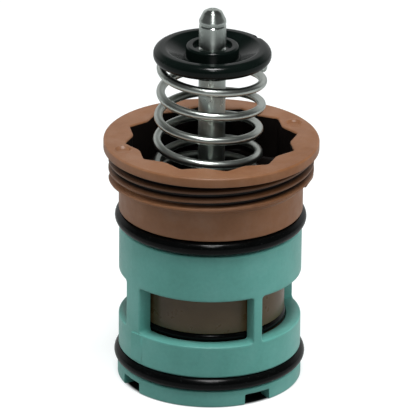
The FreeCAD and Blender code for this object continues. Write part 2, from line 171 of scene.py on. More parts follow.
def band_faces(rings, count, closed=False):
    """Four-cornered faces between rings of points, each ring joined to the one after it."""
    faces = []
    for index in range(rings if closed else rings - 1):
        here = index * count
        above = ((index + 1) % rings) * count
        for step in range(count):
            after = (step + 1) % count
            faces.append((here + step, here + after, above + after, above + step))
    return faces


def ring_mesh(rows, angles, closed=True):
    """Points and faces of a turned surface. A row is (radius, height), each a number or a function of the
    angle in degrees, and may have a third entry that shifts the angle. Rows run up the outside and down
    the inside, so faces look outwards."""
    points = []
    for row in rows:
        for angle in angles:
            radius = value(row[0], angle)
            height = value(row[1], angle)
            turned = row[2](angle, radius) if len(row) > 2 else angle
            points.append(place_at(radius, turned, height))
    return points, band_faces(len(rows), len(angles), closed)


def join(*parts):
    """Several (points, faces) pairs as one."""
    points = []
    faces = []
    for some_points, some_faces in parts:
        base = len(points)
        points.extend(some_points)
        faces.extend(tuple(base + corner for corner in face) for face in some_faces)
    return points, faces


def rounded(outline, steps=4):
    """An outline of (radius, height, rounding) corners, with each corner's rounding drawn in as an arc."""
    spots = []
    count = len(outline)
    for index, (radius, height, size) in enumerate(outline):
        if size == 0:
            spots.append((radius, height))
            continue
        corner = Vector((radius, height))
        back = Vector(outline[index - 1][:2]) - corner
        ahead = Vector(outline[(index + 1) % count][:2]) - corner
        back_way = back.normalized()
        ahead_way = ahead.normalized()
        half = back_way.angle(ahead_way) / 2
        reach = size / math.tan(half)
        centre = corner + (back_way + ahead_way).normalized() * (size / math.sin(half))
        first = corner + back_way * reach - centre
        last = corner + ahead_way * reach - centre
        for step in range(steps + 1):
            way = first.lerp(last, step / steps).normalized() * size
            spots.append(tuple(centre + way))
    return spots


def ease(share):
    share = min(max(share, 0.0), 1.0)
    return share * share * (3 - 2 * share)


# Threaded collar

def from_nearest(angle, spacing, first):
    """Angle to the nearest of the marks that stand a spacing apart, from a first one."""
    away = (angle - first) % spacing
    return min(away, spacing - away)


def socket_radius(angle):
    """Twelve point socket: two hexagons thirty degrees apart, with worn cusps and points."""
    cusp = from_nearest(angle, 30, SOCKET_TURN + 15)
    flat = SOCKET_FLATS / 2

    def straight(away):
        return flat / math.cos(math.radians(15 + away))

    worn = 2.6
    if cusp < worn:
        slope = (straight(worn + 0.1) - straight(worn - 0.1)) / 0.2
        return straight(worn) - slope * (worn * worn - cusp * cusp) / (2 * worn)
    point = 15 - cusp
    soft = 1.3
    if point < soft:
        slope = (straight(15 - soft - 0.1) - straight(15 - soft + 0.1)) / 0.2
        return straight(15 - soft) - slope * (soft * soft - point * point) / (2 * soft)
    return straight(cusp)


PINS = ((40.5, 17.25), (213.5, 17.25))
PIN_RADIUS = 1.25
PIN_DEPTH = 0.38


def rim_height(radius):
    """The rim's top face: nearly flat, with two round marks where it was pushed from its mould."""
    def height(angle):
        sink = 0.02 * (1 - ease(from_nearest(angle, 90, 68) / 10))
        for place, across in PINS:
            along = math.radians(((angle - place + 180) % 360) - 180) * across
            away = math.hypot(along, radius - across)
            sink += PIN_DEPTH * (1 - ease((away - PIN_RADIUS) / 0.25))
            sink -= 0.05 * math.exp(-((away - PIN_RADIUS - 0.4) / 0.15) ** 2)
        return COLLAR_TOP - sink
    return height


def collar_body():
    edge = 0.38
    outer = FLANGE_RADIUS - edge
    rows = rounded([
        (NECK_BORE, NECK_BOTTOM, 0),
        (SEAL_SEAT, NECK_BOTTOM, 0.2),
        (SEAL_SEAT, SKIRT_BOTTOM, 0),
        (SKIRT_RADIUS, SKIRT_BOTTOM, 0.3),
        (SKIRT_RADIUS, THREAD_START + 0.05, 0.2),
        (ROOT_RADIUS, THREAD_START + 0.85, 0.2),
        (ROOT_RADIUS, FLANGE_BASE + 0.15, 0),
        (CREST_RADIUS + 0.15, FLANGE_BASE + 0.15, 0),
        (CREST_RADIUS + 0.15, FLANGE_BASE, 0),
        (FLANGE_RADIUS, FLANGE_BASE, 0.12),
        (FLANGE_RADIUS, COLLAR_TOP, 0),
    ])[:-1]
    for step in range(7):
        turn = math.radians(90 * step / 6)
        rows.append((
            outer + edge * math.cos(turn),
            COLLAR_TOP - edge + edge * math.sin(turn),
        ))
    # Rim top, from the flange's edge to the socket's edge
    inner = 0.28
    rings = 22
    for step in range(1, rings):
        share = step / rings

        def radius(angle, share=share):
            return outer + (socket_radius(angle) + inner - outer) * share

        def height(angle, radius=radius):
            return rim_height(radius(angle))(angle)

        rows.append((radius, height))
    for step in range(5):
        turn = math.radians(90 * step / 4)
        rows.append((
            lambda angle, turn=turn: socket_radius(angle) + inner - inner * math.sin(turn),
            COLLAR_TOP - 0.02 - inner + inner * math.cos(turn),
        ))
    rows.append((socket_radius, SOCKET_FLOOR + 4))
    rows.append((socket_radius, SOCKET_FLOOR + 0.25))
    rows.append((lambda angle: socket_radius(angle) - 0.25, SOCKET_FLOOR))
    rows += rounded([
        (12.5, SOCKET_FLOOR, 0),
        (9.0, SOCKET_FLOOR, 0),
        (SHAFT_HOLE, SOCKET_FLOOR, 0.2),
        (SHAFT_HOLE, SOCKET_FLOOR - 0.9, 0),
        (GLAND_BORE, SOCKET_FLOOR - 0.9, 0),
        (GLAND_BORE, GLAND_LOW, 0),
        (GLAND_RADIUS, GLAND_LOW, 0.2),
        (GLAND_RADIUS, SOCKET_FLOOR - 3, 0.4),
        (NECK_BORE, SOCKET_FLOOR - 3, 0.4),
        (NECK_BORE, NECK_BOTTOM + 2, 0),
    ])
    return ring_mesh(rows, around(480, SOCKET_TURN))


def thread_ridge(start):
    """One ridge of the double thread, swept up from its tapered start until it runs into the flange."""
    section = rounded([
        (ROOT_RADIUS - 0.35, -RIDGE_HALF, 0),
        (ROOT_RADIUS, -RIDGE_HALF, 0),
        (CREST_RADIUS, -CREST_HALF, 0.12),
        (CREST_RADIUS, CREST_HALF, 0.12),
        (ROOT_RADIUS, RIDGE_HALF, 0),
        (ROOT_RADIUS - 0.35, RIDGE_HALF, 0),
    ], 2)
    turns = (THREAD_LENGTH + RUN_IN) / LEAD
    steps = round(turns * 180)
    points = []
    count = len(section)
    for step in range(steps + 1):
        share = step / steps
        angle = start + 360 * turns * share
        grown = 0.25 + 0.75 * ease(step / 9)
        middle = THREAD_START + RIDGE_HALF + LEAD * turns * share
        for radius, lift in section:
            out = ROOT_RADIUS + (radius - ROOT_RADIUS) * (grown if radius > ROOT_RADIUS else 1)
            if step < 60 and radius <= ROOT_RADIUS:
                out = SKIRT_RADIUS - 0.25 if radius < ROOT_RADIUS else ROOT_RADIUS
            points.append(place_at(out, angle, middle + lift * (0.6 + 0.4 * grown)))
    faces = [(a, d, c, b) for a, b, c, d in band_faces(steps + 1, count)]
    faces.append(tuple(range(count)))
    faces.append(tuple(steps * count + corner for corner in reversed(range(count))))
    return points, faces


# Ported cage

def window_loop(angle_low, angle_high, z_low, z_high, corner):
    """A rounded rectangle on the cage's wall as (angle, height) pairs, anticlockwise seen from outside."""
    wide = math.degrees(corner / CAGE_RADIUS)
    centres = (
        (angle_high - wide, z_low + corner, -90),
        (angle_high - wide, z_high - corner, 0),
        (angle_low + wide, z_high - corner, 90),
        (angle_low + wide, z_low + corner, 180),
    )
    loop = []
    for index, (centre, middle, turn) in enumerate(centres):
        arc = []
        for step in range(BEND_STEPS + 1):
            way = math.radians(turn + 90 * step / BEND_STEPS)
            arc.append((centre + wide * math.cos(way), middle + corner * math.sin(way)))
        loop += arc
        following = centres[(index + 1) % 4]
        way = math.radians(following[2])
        goal = (following[0] + wide * math.cos(way), following[1] + corner * math.sin(way))
        steps = UP_STEPS if index % 2 == 0 else ACROSS_STEPS
        for step in range(1, steps):
            share = step / steps
            loop.append(tuple(arc[-1][axis] + (goal[axis] - arc[-1][axis]) * share for axis in (0, 1)))
    return loop


def border_loop(angle_low, angle_high):
    """The patch's square-cornered border, with as many steps as a window loop has."""
    half = BEND_STEPS // 2
    sides = (
        ((angle_high, PATCH_LOW), (angle_high, PATCH_HIGH), UP_STEPS + BEND_STEPS),
        ((angle_high, PATCH_HIGH), (angle_low, PATCH_HIGH), ACROSS_STEPS + BEND_STEPS),
        ((angle_low, PATCH_HIGH), (angle_low, PATCH_LOW), UP_STEPS + BEND_STEPS),
        ((angle_low, PATCH_LOW), (angle_high, PATCH_LOW), ACROSS_STEPS + BEND_STEPS),
    )
    loop = []
    for start, goal, steps in sides:
        for step in range(steps):
            share = step / steps
            loop.append(tuple(start[axis] + (goal[axis] - start[axis]) * share for axis in (0, 1)))
    return loop[-half:] + loop[:-half]


def cage_columns():
    """Angles of the patch borders and the half widths of the columns there."""
    return [(45 + 90 * quarter, (WIDE if quarter % 2 == 0 else NARROW) / 2) for quarter in range(4)]


def cage_angles():
    """Every angle at which the patches' borders have a point."""
    steps = ACROSS_STEPS + BEND_STEPS
    return [45 + 90 * quarter + 90 * step / steps for quarter in range(4) for step in range(steps)]


def cage_windows():
    parts = []
    columns = cage_columns()
    for quarter in range(4):
        start, half = columns[quarter]
        next_half = columns[(quarter + 1) % 4][1]
        low_angle, high_angle = start + half, start + 90 - next_half
        layers = []

        def grown_loop(grow):
            grown = math.degrees(grow / CAGE_RADIUS)
            return window_loop(low_angle - grown, high_angle + grown, SILL - grow, HEAD + grow,
                               WINDOW_CORNER + grow)

        def window(grow, radius):
            layers.append([(radius, angle, height) for angle, height in grown_loop(grow)])

        def between(share, radius):
            near = grown_loop(WINDOW_BEVEL)
            far = border_loop(start, start + 90)
            layers.append([
                (radius, a[0] + (b[0] - a[0]) * share, a[1] + (b[1] - a[1]) * share)
                for a, b in zip(near, far)
            ])

        for share in (1.0, 0.75, 0.5, 0.3, 0.14, 0.05):
            between(share, CAGE_RADIUS)
        for step in range(4):
            turn = math.radians(90 * step / 3)
            window(WINDOW_BEVEL * (1 - math.sin(turn)), CAGE_RADIUS - WINDOW_BEVEL * (1 - math.cos(turn)))
        window(0, (CAGE_RADIUS + CAGE_BORE) / 2)
        for step in range(4):
            turn = math.radians(90 * step / 3)
            window(WINDOW_BEVEL * (1 - math.cos(turn)), CAGE_BORE + WINDOW_BEVEL * (1 - math.sin(turn)))
        for share in (0.05, 0.14, 0.3, 0.5, 0.75, 1.0):
            between(share, CAGE_BORE)
        points = [place_at(*corner) for layer in layers for corner in layer]
        parts.append((points, band_faces(len(layers), len(layers[0]))))
    return join(*parts)


def cage_ends():
    angles = cage_angles()
    top = rounded([
        (CAGE_RADIUS, PATCH_HIGH, 0),
        (CAGE_RADIUS, CAGE_TOP, 0.4),
        (NECK_SEAT, CAGE_TOP, 0.2),
        (NECK_SEAT, CAGE_STEP, 0),
        (CAGE_BORE, CAGE_STEP, 0),
        (CAGE_BORE, PATCH_HIGH, 0),
    ], 5)[:-1]
    top.append((CAGE_BORE, PATCH_HIGH - 6.2))
    base = rounded([
        (CAGE_BORE, PATCH_LOW, 0),
        (CAGE_BORE, FOOT_BRIM, 0),
        (SEAL_SEAT, FOOT_BRIM, 0),
        (SEAL_SEAT, GROOVE_TOP, 0.15),
        (CAGE_RADIUS, GROOVE_TOP, 0.38),
        (CAGE_RADIUS, PATCH_LOW, 0),
    ], 5)
    return join(ring_mesh(top, angles, closed=False), ring_mesh(base, angles, closed=False))


def cage_foot():
    """The foot ring with its four square notches, whose sides are parallel."""
    half = NOTCH_WIDTH / 2
    offsets = []
    for offset in (0.5, 0.2, 0.02, -0.05, -0.2, -NOTCH_MARGIN):
        offsets += [offset - half, half - offset]
    offsets.append(0)
    notch_rise = {}
    marks = []
    for notch in range(4):
        middle = 45 + 90 * notch
        for offset in offsets:
            mark = middle + math.degrees(math.asin(offset / FOOT_RADIUS))
            inside = half - abs(offset)
            depth = NOTCH_HEIGHT if inside > 0 else 0
            if 0 < inside <= 0.3:
                depth -= 0.12 if inside < 0.1 else 0.03
            notch_rise[round(mark, 5)] = (depth, offset, middle)
            marks.append(mark)
        taken = math.degrees(math.asin((half + NOTCH_MARGIN) / FOOT_RADIUS))
        free = 90 - 2 * taken
        start = middle + taken
        for step in range(1, 32):
            marks.append(start + free * step / 32)

    def underside(angle):
        return notch_rise.get(round(angle, 5), (0, 0, 0))[0]

    def shifted(angle, radius):
        if round(angle, 5) not in notch_rise:
            return angle
        depth, offset, middle = notch_rise[round(angle, 5)]
        return middle + math.degrees(math.asin(offset / radius))

    outline = rounded([
        (SEAL_SEAT, FOOT_BRIM + 0.1, 0),
        (CAGE_BORE, FOOT_BRIM + 0.1, 0),
        (CAGE_BORE, 3.0, 0),
        (CAGE_BORE, 0, 0.2),
        (FOOT_RADIUS, 0, 0.35),
        (FOOT_RADIUS, FOOT_HEIGHT, 0.35),
        (SEAL_SEAT, FOOT_HEIGHT, 0.15),
    ], 4)
    rows = []
    for radius, height in outline:
        if height < 1.0:
            rows.append((radius, lambda angle, height=height: underside(angle) + height, shifted))
        else:
            rows.append((radius, height, shifted))
    return ring_mesh(rows, sorted(marks, key=lambda mark: mark % 360))


def flip(part):
    points, faces = part
    return points, [tuple(reversed(face)) for face in faces]


def make_tab():
    """The low wedge moulded on the cage below the wide column at the front left: steep on one side."""
    first, last = 226.4, 237.0
    bottom, top = GROOVE_TOP + 0.75, SILL - 0.2
    tall = 0.45
    edge = 0.12
    wide = math.degrees(edge / CAGE_RADIUS)
    shares = [step / 12 for step in range(13)]
    columns = [(first - wide, 0)] + [(first + (last - first) * share, 1 - share) for share in shares]
    levels = [(bottom - edge, 0), (bottom, 1), ((bottom + top) / 2, 1), (top, 1), (top + edge, 0)]
    points = []
    for height, level_part in levels:
        for angle, column_part in columns:
            radius = CAGE_RADIUS - 0.04 + tall * level_part * column_part
            points.append(place_at(radius, angle, height))
    count = len(columns)
    faces = []
    for row in range(len(levels) - 1):
        for column in range(count - 1):
            here = row * count + column
            faces.append((here, here + 1, here + count + 1, here + count))
    tab = add_mesh("moulded_tab", points, faces, "body", "cage_plastic", 30)
    thick = tab.modifiers.new("thickness", "SOLIDIFY")
    thick.thickness = 0.25 * MM
    thick.offset = -1
    return tab


# Return spring

def spring_path():
    """Centreline of the left hand coil: a flat end, nine half turns down and a flat end, eased together."""
    coil = 9 * 180.0
    step = 4.0
    soften = 26.0
    spots = []
    count = round((SPRING_TOP_FLAT + coil + SPRING_LOW_FLAT) / step)
    for index in range(count + 1):
        angle = SPRING_START - SPRING_TOP_FLAT + step * index

        def fall(at):
            return min(max((at - SPRING_START) / coil, 0.0), 1.0)

        share = sum(fall(angle + soften * (part - 4) / 4) for part in range(9)) / 9
        spots.append((angle, SPRING_HIGH + (SPRING_LOW - SPRING_HIGH) * share))
    return spots


def make_spring():
    spots = spring_path()
    sides = 20
    points = []
    centres = []
    for angle, height in spots:
        x, y, z = place_at(SPRING_RADIUS, angle, height)
        lean = -0.05 - 0.62 * ease((57 - height) / 9)
        centres.append(Vector((x + lean * math.cos(LEAN_WAY), y + lean * math.sin(LEAN_WAY), z)))
    for index, centre in enumerate(centres):
        ahead = centres[min(index + 1, len(centres) - 1)] - centres[max(index - 1, 0)]
        ahead.normalize()
        outward = Vector((centre.x, centre.y, 0)).normalized()
        upward = ahead.cross(outward).normalized()
        outward = upward.cross(ahead).normalized()
        near_end = min(index, len(centres) - 1 - index)
        wire = SPRING_WIRE * (1 - 0.08 * (near_end == 0))
        for side in range(sides):
            turn = 2 * math.pi * side / sides
            spot = centre + outward * (wire * math.cos(turn)) + upward * (wire * math.sin(turn))
            points.append(tuple(spot))
    faces = band_faces(len(centres), sides)
    faces.append(tuple(reversed(range(sides))))
    last = (len(centres) - 1) * sides
    faces.append(tuple(last + side for side in range(sides)))
    return add_mesh("coil_spring", points, faces, "body", "spring_steel", 45)


def seal_piece(name, middle, height, wire, body):
    """A rubber ring with a faint moulding seam round its outside."""
    rows = []
    steps = 36
    for step in range(steps):
        turn = 360 * step / steps
        swell = 0.012 * math.exp(-((((turn + 180) % 360) - 180) / 6) ** 2)
        reach = wire / 2 + swell
        rows.append((
            lambda angle, turn=turn, reach=reach: middle + reach * math.cos(math.radians(turn)),
            lambda angle, turn=turn, reach=reach: height + reach * math.sin(math.radians(turn)),
        ))
    points, faces = ring_mesh(rows, around(240))
    return add_mesh(name, points, faces, body, "seal_rubber", 60)


# Spring retainer disc and stem

def make_disc():
    """The black disc: a thick rolled rim round a dish, and a hub that carries the stem's clip."""
    notch_at = 47.4
    rim_inside, rim_drop = 9.7, 1.6

    def nick(angle):
        away = ((angle - notch_at + 180) % 360) - 180
        return 1 - ease((abs(away) - 2.6) / 1.6)

    outline = rounded([
        (STEM_HOLE, SLEEVE_LOW, 0),
        (HUB_RADIUS, SLEEVE_LOW, 0.3),
        (HUB_RADIUS, DISC_BASE, 0.3),
        (DISC_RADIUS, DISC_BASE, 1.22),
        (DISC_RADIUS, DISC_HIGH, 1.3),
        (DISC_RADIUS - 2.2, DISC_HIGH, 1.2),
        (HUB_RADIUS + 0.3, DISC_HIGH - 1.75, 0.3),
        (HUB_RADIUS, DISC_HIGH - 2.0, 0.12),
        (HUB_RADIUS, HUB_TOP, 0.45),
        (CLIP_POCKET, HUB_TOP, 0.12),
        (CLIP_POCKET, HUB_TOP - CLIP_DEPTH, 0),
        (STEM_HOLE, HUB_TOP - CLIP_DEPTH, 0),
    ], 7)
    rows = []
    for radius, height in outline:
        if radius > rim_inside and height > DISC_HIGH - rim_drop:
            deep = min(1.0, (height - DISC_HIGH + rim_drop) / 0.8)
            rows.append((
                lambda angle, radius=radius, deep=deep: radius - 0.7 * deep * nick(angle),
                lambda angle, height=height, deep=deep: height - 0.45 * deep * nick(angle),
            ))
        else:
            rows.append((radius, height))
    points, faces = ring_mesh(rows, around(288))
    return add_mesh("retainer_disc", points, faces, "plunger", "retainer_plastic", 50)


def make_piston():
    """The piston between its two lips, with a wide ring groove at each end and a cup below its web."""
    low_end, high_end = low("piston"), high("piston")
    web_low, web_high = low_end + 3.7, low_end + 6.5
    lip, slot_end = 0.5, 2.2
    washer = low("piston_upper_washer")
    outline = rounded([
        (2.0, web_low, 0),
        (PISTON_HUB, web_low, 0.3),
        (PISTON_INSIDE, web_low, 0.5),
        (PISTON_INSIDE, low_end, 0.2),
        (PISTON_LIP, low_end, 0.2),
        (PISTON_LIP, low_end + lip, 0.1),
        (SEAL_FLOOR, low_end + lip, 0),
        (SEAL_FLOOR, low_end + slot_end, 0),
        (PISTON_RADIUS, low_end + slot_end, 0.12),
        (PISTON_RADIUS, high_end - slot_end, 0.12),
        (SEAL_FLOOR, high_end - slot_end, 0),
        (SEAL_FLOOR, high_end - lip, 0),
        (PISTON_LIP, high_end - lip, 0.1),
        (PISTON_LIP, high_end, 0.2),
        (PISTON_INSIDE, high_end, 0.2),
        (PISTON_INSIDE, web_high, 0.5),
        (PISTON_HUB, web_high, 0.3),
        (PISTON_HUB, washer, 0.3),
        (2.0, washer, 0),
    ], 4)
    points, faces = ring_mesh(outline, around(180))
    return add_mesh("piston_body", points, faces, "plunger", "piston_plastic", 40)


def make_stem():
    groove = STEM_TOP - 2.85
    clip_seat = HUB_TOP - CLIP_DEPTH
    shoulder = high("piston_upper_washer")
    outline = rounded([
        (0.0, STEM_BOTTOM, 0),
        (1.95, STEM_BOTTOM, 0.3),
        (1.95, shoulder, 0),
        (STEM_RADIUS, shoulder, 0.1),
        (STEM_RADIUS, clip_seat, 0),
        (2.0, clip_seat, 0),
        (2.0, clip_seat + 0.6, 0),
        (STEM_RADIUS, clip_seat + 0.6, 0),
        (STEM_RADIUS, groove - 0.25, 0.05),
        (2.25, groove, 0.05),
        (2.25, groove + 0.25, 0.03),
        (STEM_RADIUS, groove + 0.25, 0.06),
        (STEM_RADIUS, STEM_TOP - HEAD_CONE, 0.35),
        (1.75, STEM_TOP - 0.45, 0.2),
        (1.0, STEM_TOP, 0.5),
        (0.0, STEM_TOP, 0),
    ], 4)

    def dented(radius, height):
        """Two small dents on the cone's shoulder, as knocks leave them."""
        def out(angle):
            dent = 0
            for place, level, deep in ((78.0, STEM_TOP - 1.0, 0.10), (-12.0, STEM_TOP - 1.7, 0.08)):
                along = math.radians(((angle - place + 180) % 360) - 180) * max(radius, 0.5)
                away = math.hypot(along, (height - level) * 1.4)
                dent += deep * (1 - ease(away / 0.45))
            return max(radius - dent, 0.0)
        return out

    rows = []
    for radius, height in outline:
        if height > STEM_TOP - HEAD_CONE - 0.15 and radius > 0.2:
            rows.append((dented(radius, height), height))
        else:
            rows.append((radius, height))
    points, faces = ring_mesh(rows, around(120), closed=False)
    return add_mesh("valve_stem", points, faces, "plunger", "stem_steel", 28)


collar = add_mesh("collar", *join(collar_body(), thread_ridge(0.0), thread_ridge(180.0)),
                  "body", "collar_plastic", 34)
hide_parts("threaded_collar")

cage = add_mesh("ported_cage", *join(cage_windows(), flip(cage_ends()), flip(cage_foot())),
                "body", "cage_plastic", 34)
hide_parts("cage")

spring = make_spring()
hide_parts("return_spring")

ring_middle = SEAL_SEAT + 0.03 + SEAL_WIRE / 2
upper_seal = seal_piece("upper_seal", ring_middle, (CAGE_TOP + SKIRT_BOTTOM) / 2, SEAL_WIRE, "body")
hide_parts("upper_body_oring")
lower_seal = seal_piece("lower_seal", ring_middle, (FOOT_HEIGHT + GROOVE_TOP) / 2, SEAL_WIRE, "body")
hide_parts("lower_body_oring")

tab = make_tab()
disc = make_disc()
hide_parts("spring_retainer")
stem = make_stem()
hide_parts("stem")
piston = make_piston()
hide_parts("piston")


# Materials

def material_tree(name):
    material = bpy.data.materials.new(name)
    material.use_nodes = True
    tree = material.node_tree
    return material, tree, tree.nodes["Principled BSDF"]


def pattern(tree, scale, detail=4.0, rough=0.55, stretch=(1, 1, 1), offset=(0, 0, 0)):
    """Fractal noise over the piece in its own frame. scale is in features per metre."""
    place = tree.nodes.new("ShaderNodeTexCoord")
    mapping = tree.nodes.new("ShaderNodeMapping")
    mapping.inputs["Scale"].default_value = stretch
    mapping.inputs["Location"].default_value = offset
    noise = tree.nodes.new("ShaderNodeTexNoise")
    noise.inputs["Scale"].default_value = scale
    noise.inputs["Detail"].default_value = detail
    noise.inputs["Roughness"].default_value = rough
    tree.links.new(place.outputs["Object"], mapping.inputs["Vector"])
    tree.links.new(mapping.outputs["Vector"], noise.inputs["Vector"])
    return noise.outputs["Fac"]


def ramp(tree, source, stops):
    """Colours at given points of a 0 to 1 value."""
    node = tree.nodes.new("ShaderNodeValToRGB")
    while len(node.color_ramp.elements) < len(stops):
        node.color_ramp.elements.new(0.5)
    for element, (point, colour) in zip(node.color_ramp.elements, stops):
        element.position = point
        element.color = (*colour, 1.0)
    tree.links.new(source, node.inputs["Fac"])
    return node.outputs["Color"]


def map_value(tree, source, start, end, low_value, high_value, kind="LINEAR"):
    """Maps a value's range to another."""
    node = tree.nodes.new("ShaderNodeMapRange")
    node.interpolation_type = kind
    node.inputs["From Min"].default_value = start
    node.inputs["From Max"].default_value = end
    node.inputs["To Min"].default_value = low_value
    node.inputs["To Max"].default_value = high_value
    tree.links.new(source, node.inputs["Value"])
    return node.outputs["Result"]


def spread(tree, source, low_value, high_value):
    """Maps the middle of a noise value to a range."""
    return map_value(tree, source, 0.3, 0.7, low_value, high_value)


def blend_colour(tree, first, second, share, kind="MIX"):
    node = tree.nodes.new("ShaderNodeMix")
    node.data_type = "RGBA"
    node.blend_type = kind
    tree.links.new(first, node.inputs["A"])
    tree.links.new(second, node.inputs["B"])
    if isinstance(share, float):
        node.inputs["Factor"].default_value = share
    else:
        tree.links.new(share, node.inputs["Factor"])
    return node.outputs["Result"]


def raise_surface(tree, shader, *layers):
    """Chains bumps: each layer is (height source, depth in millimetres)."""
    before = None
    for source, depth in layers:
        bump = tree.nodes.new("ShaderNodeBump")
        bump.inputs["Strength"].default_value = 1.0
        bump.inputs["Distance"].default_value = depth * MM
        tree.links.new(source, bump.inputs["Height"])
        if before is not None:
            tree.links.new(before, bump.inputs["Normal"])
        before = bump.outputs["Normal"]
    tree.links.new(before, shader.inputs["Normal"])


def from_axis(tree):
    """How far out from the part's axis, and how high, a point lies: two values in metres."""
    place = tree.nodes.new("ShaderNodeTexCoord")
    parts = tree.nodes.new("ShaderNodeSeparateXYZ")
    flat = tree.nodes.new("ShaderNodeCombineXYZ")
    length = tree.nodes.new("ShaderNodeVectorMath")
    length.operation = "LENGTH"
    tree.links.new(place.outputs["Object"], parts.inputs["Vector"])
    tree.links.new(parts.outputs["X"], flat.inputs["X"])
    tree.links.new(parts.outputs["Y"], flat.inputs["Y"])
    tree.links.new(flat.outputs["Vector"], length.inputs[0])
    return length.outputs["Value"], parts.outputs["Z"]


def rise(tree, source, start, end, low_value=0.0, high_value=1.0):
    """A soft step of a value between two places in millimetres."""
    return map_value(tree, source, start * MM, end * MM, low_value, high_value, "SMOOTHSTEP")


def combine(tree, kind, first, second):
    node = tree.nodes.new("ShaderNodeMath")
    node.operation = kind
    tree.links.new(first, node.inputs[0])
    tree.links.new(second, node.inputs[1])
    return node.outputs["Value"]


def dim(tree, colour, share):
    """A colour made darker by a share."""
    node = tree.nodes.new("ShaderNodeVectorMath")
    node.operation = "SCALE"
    tree.links.new(colour, node.inputs[0])
    tree.links.new(share, node.inputs["Scale"])
    return node.outputs["Vector"]


def thread_painted_shade(tree):
    """Painted shade in the thread: darkest in the grooves and under the flange, where shadow falls, and
    none on the skirt.
    """
    out, high_up = from_axis(tree)
    # Painted shade: crests darken towards the flange, standing in for its shadow, and roots go nearly
    # black, standing in for shade in the grooves.
    crest = rise(tree, high_up, THREAD_START + 1.4, FLANGE_BASE - 1.2, 0.85, 0.42)
    root = rise(tree, out, ROOT_RADIUS + 0.1, CREST_RADIUS - 0.05, 0.03, 1.0)
    unshaded = combine(tree, "MULTIPLY", crest, root)
    below = rise(tree, high_up, THREAD_START + 1.7, THREAD_START + 2.4, 1.0, 0.0)
    above = rise(tree, high_up, FLANGE_BASE - 0.05, FLANGE_BASE + 0.05, 0.0, 1.0)
    return combine(tree, "MAXIMUM", unshaded, combine(tree, "MAXIMUM", below, above))


def moulded(name, tones, gloss, level=0.5, grain=0.012, seed=0.0, painted_shade=None, sheen=0.0):
    """Moulded plastic: soft patches of tone, fine flecks, uneven gloss and a fine skin."""
    material, tree, shader = material_tree(name)
    dark, mid, light = tones
    broad = pattern(tree, 55.0, 2.0, 0.5, offset=(seed, seed, 0))
    patches = pattern(tree, 190.0, 5.0, 0.6, offset=(seed, 0, 0))
    flecks = pattern(tree, 1500.0, 3.0, 0.6, offset=(0, seed, 0))
    base = ramp(tree, patches, ((0.30, dark), (0.50, mid), (0.70, light)))
    slow = ramp(tree, broad, ((0.35, dark), (0.65, light)))
    darker = tuple(0.90 * part for part in mid)
    lighter = tuple(min(1.12 * part, 1.0) for part in mid)
    small = ramp(tree, flecks, ((0.35, darker), (0.65, lighter)))
    colour = blend_colour(tree, blend_colour(tree, base, slow, 0.4), small, 0.30)
    # Optional painted shade: a mask that darkens the colour where shadow falls.
    if painted_shade:
        colour = dim(tree, colour, painted_shade(tree))
    tree.links.new(colour, shader.inputs["Base Color"])
    tree.links.new(spread(tree, pattern(tree, 420.0, 4.0, 0.6), *gloss), shader.inputs["Roughness"])
    shader.inputs["Specular IOR Level"].default_value = level
    shader.inputs["Sheen Weight"].default_value = sheen
    shader.inputs["Sheen Roughness"].default_value = 0.4
    raise_surface(tree, shader,
                  (pattern(tree, 260.0, 2.0), grain * 1.5),
                  (pattern(tree, 2600.0, 3.0, 0.65), grain))
    return material


def rubber(name, base, gloss, level):
    """Black rubber with a thin uneven film of grease and specks of dust."""
    material, tree, shader = material_tree(name)
    film = pattern(tree, 330.0, 5.0, 0.6)
    specks = pattern(tree, 3800.0, 2.0, 0.5)
    black = ramp(tree, film, ((0.35, tuple(0.7 * part for part in base)), (0.65, base)))
    dusty = ramp(tree, specks, ((0.66, (0, 0, 0)), (0.76, (0.02, 0.022, 0.022))))
    tree.links.new(blend_colour(tree, black, dusty, 1.0, "ADD"), shader.inputs["Base Color"])
    tree.links.new(spread(tree, film, *gloss), shader.inputs["Roughness"])
    shader.inputs["Specular IOR Level"].default_value = level
    raise_surface(tree, shader, (pattern(tree, 900.0, 3.0), 0.012))
    return material


def steel(name, tones, gloss, stretch, lines=2400.0, depth=0.002, brushed=0.0):
    """Stainless steel with drawn or turned lines: stretch squeezes the noise across the lines, and brushed
    draws reflections out along the part's axis."""
    material, tree, shader = material_tree(name)
    shader.inputs["Metallic"].default_value = 1.0
    dark, light = tones
    marks = pattern(tree, lines, 4.0, 0.6, stretch=stretch)
    stains = pattern(tree, 240.0, 4.0, 0.6)
    fine = ramp(tree, marks, ((0.3, dark), (0.7, light)))
    wide = ramp(tree, stains, ((0.3, dark), (0.6, light)))
    tree.links.new(blend_colour(tree, fine, wide, 0.6), shader.inputs["Base Color"])
    tree.links.new(spread(tree, stains, *gloss), shader.inputs["Roughness"])
    if brushed:
        shader.inputs["Anisotropic"].default_value = brushed
        round_axis = tree.nodes.new("ShaderNodeTangent")
        round_axis.direction_type = "RADIAL"
        round_axis.axis = "Z"
        tree.links.new(round_axis.outputs["Tangent"], shader.inputs["Tangent"])
        shader.inputs["Anisotropic Rotation"].default_value = 0.25
    raise_surface(tree, shader, (marks, depth))
    return material
